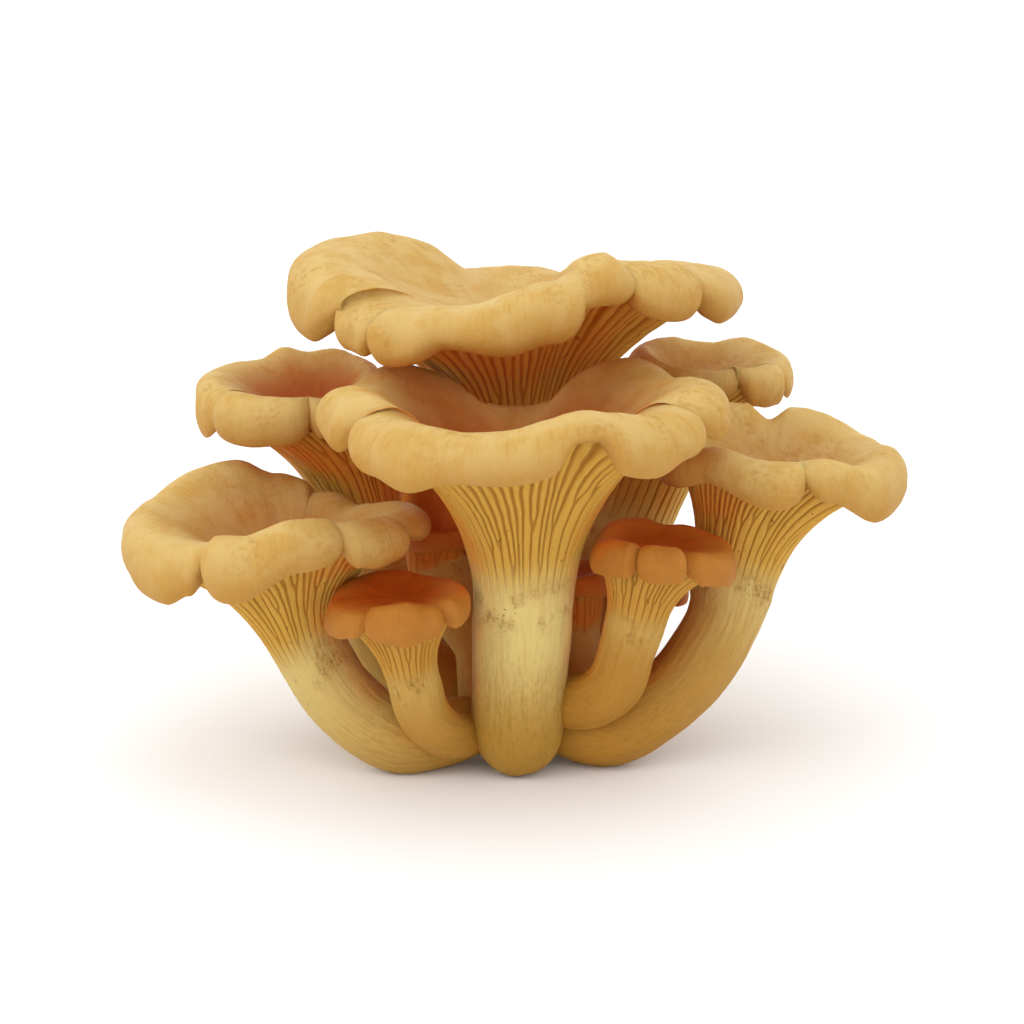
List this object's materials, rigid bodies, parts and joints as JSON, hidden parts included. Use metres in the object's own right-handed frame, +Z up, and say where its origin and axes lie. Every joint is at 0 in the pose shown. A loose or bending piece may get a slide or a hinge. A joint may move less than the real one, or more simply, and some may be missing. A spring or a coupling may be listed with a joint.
{
  "type": "chanterelle mushroom cluster",
  "caption": "Cluster of golden chanterelle mushrooms grown from one foot, with funnel caps, blunt ridges below, wavy rolled rims and curved stems, standing on its feet.",
  "frame": {"origin": "middle of the cluster's outline seen from above, on the surface that it stands on", "axes": "+Z up, +X to the right across the cluster's width, front mushroom facing -Y"},
  "size_m": [0.1588, 0.119, 0.1032],
  "materials": {
    "golden_flesh": "matt, suede-like mushroom flesh, golden yellow with fine streaks, paler on the stems",
    "orange_flesh": "matt, suede-like mushroom flesh, deeper orange with red-brown caps"
  },
  "bodies": {
    "root": {"mushroom_front": "golden_flesh", "mushroom_top": "golden_flesh", "mushroom_left_lower": "golden_flesh", "mushroom_right_lower": "golden_flesh", "mushroom_left_upper": "golden_flesh", "mushroom_right_upper": "golden_flesh", "mushroom_small_left": "orange_flesh", "mushroom_small_right": "orange_flesh", "mushroom_inner_left": "orange_flesh", "mushroom_inner_right": "orange_flesh", "mushroom_back_right": "orange_flesh"}
  },
  "joints": []
}
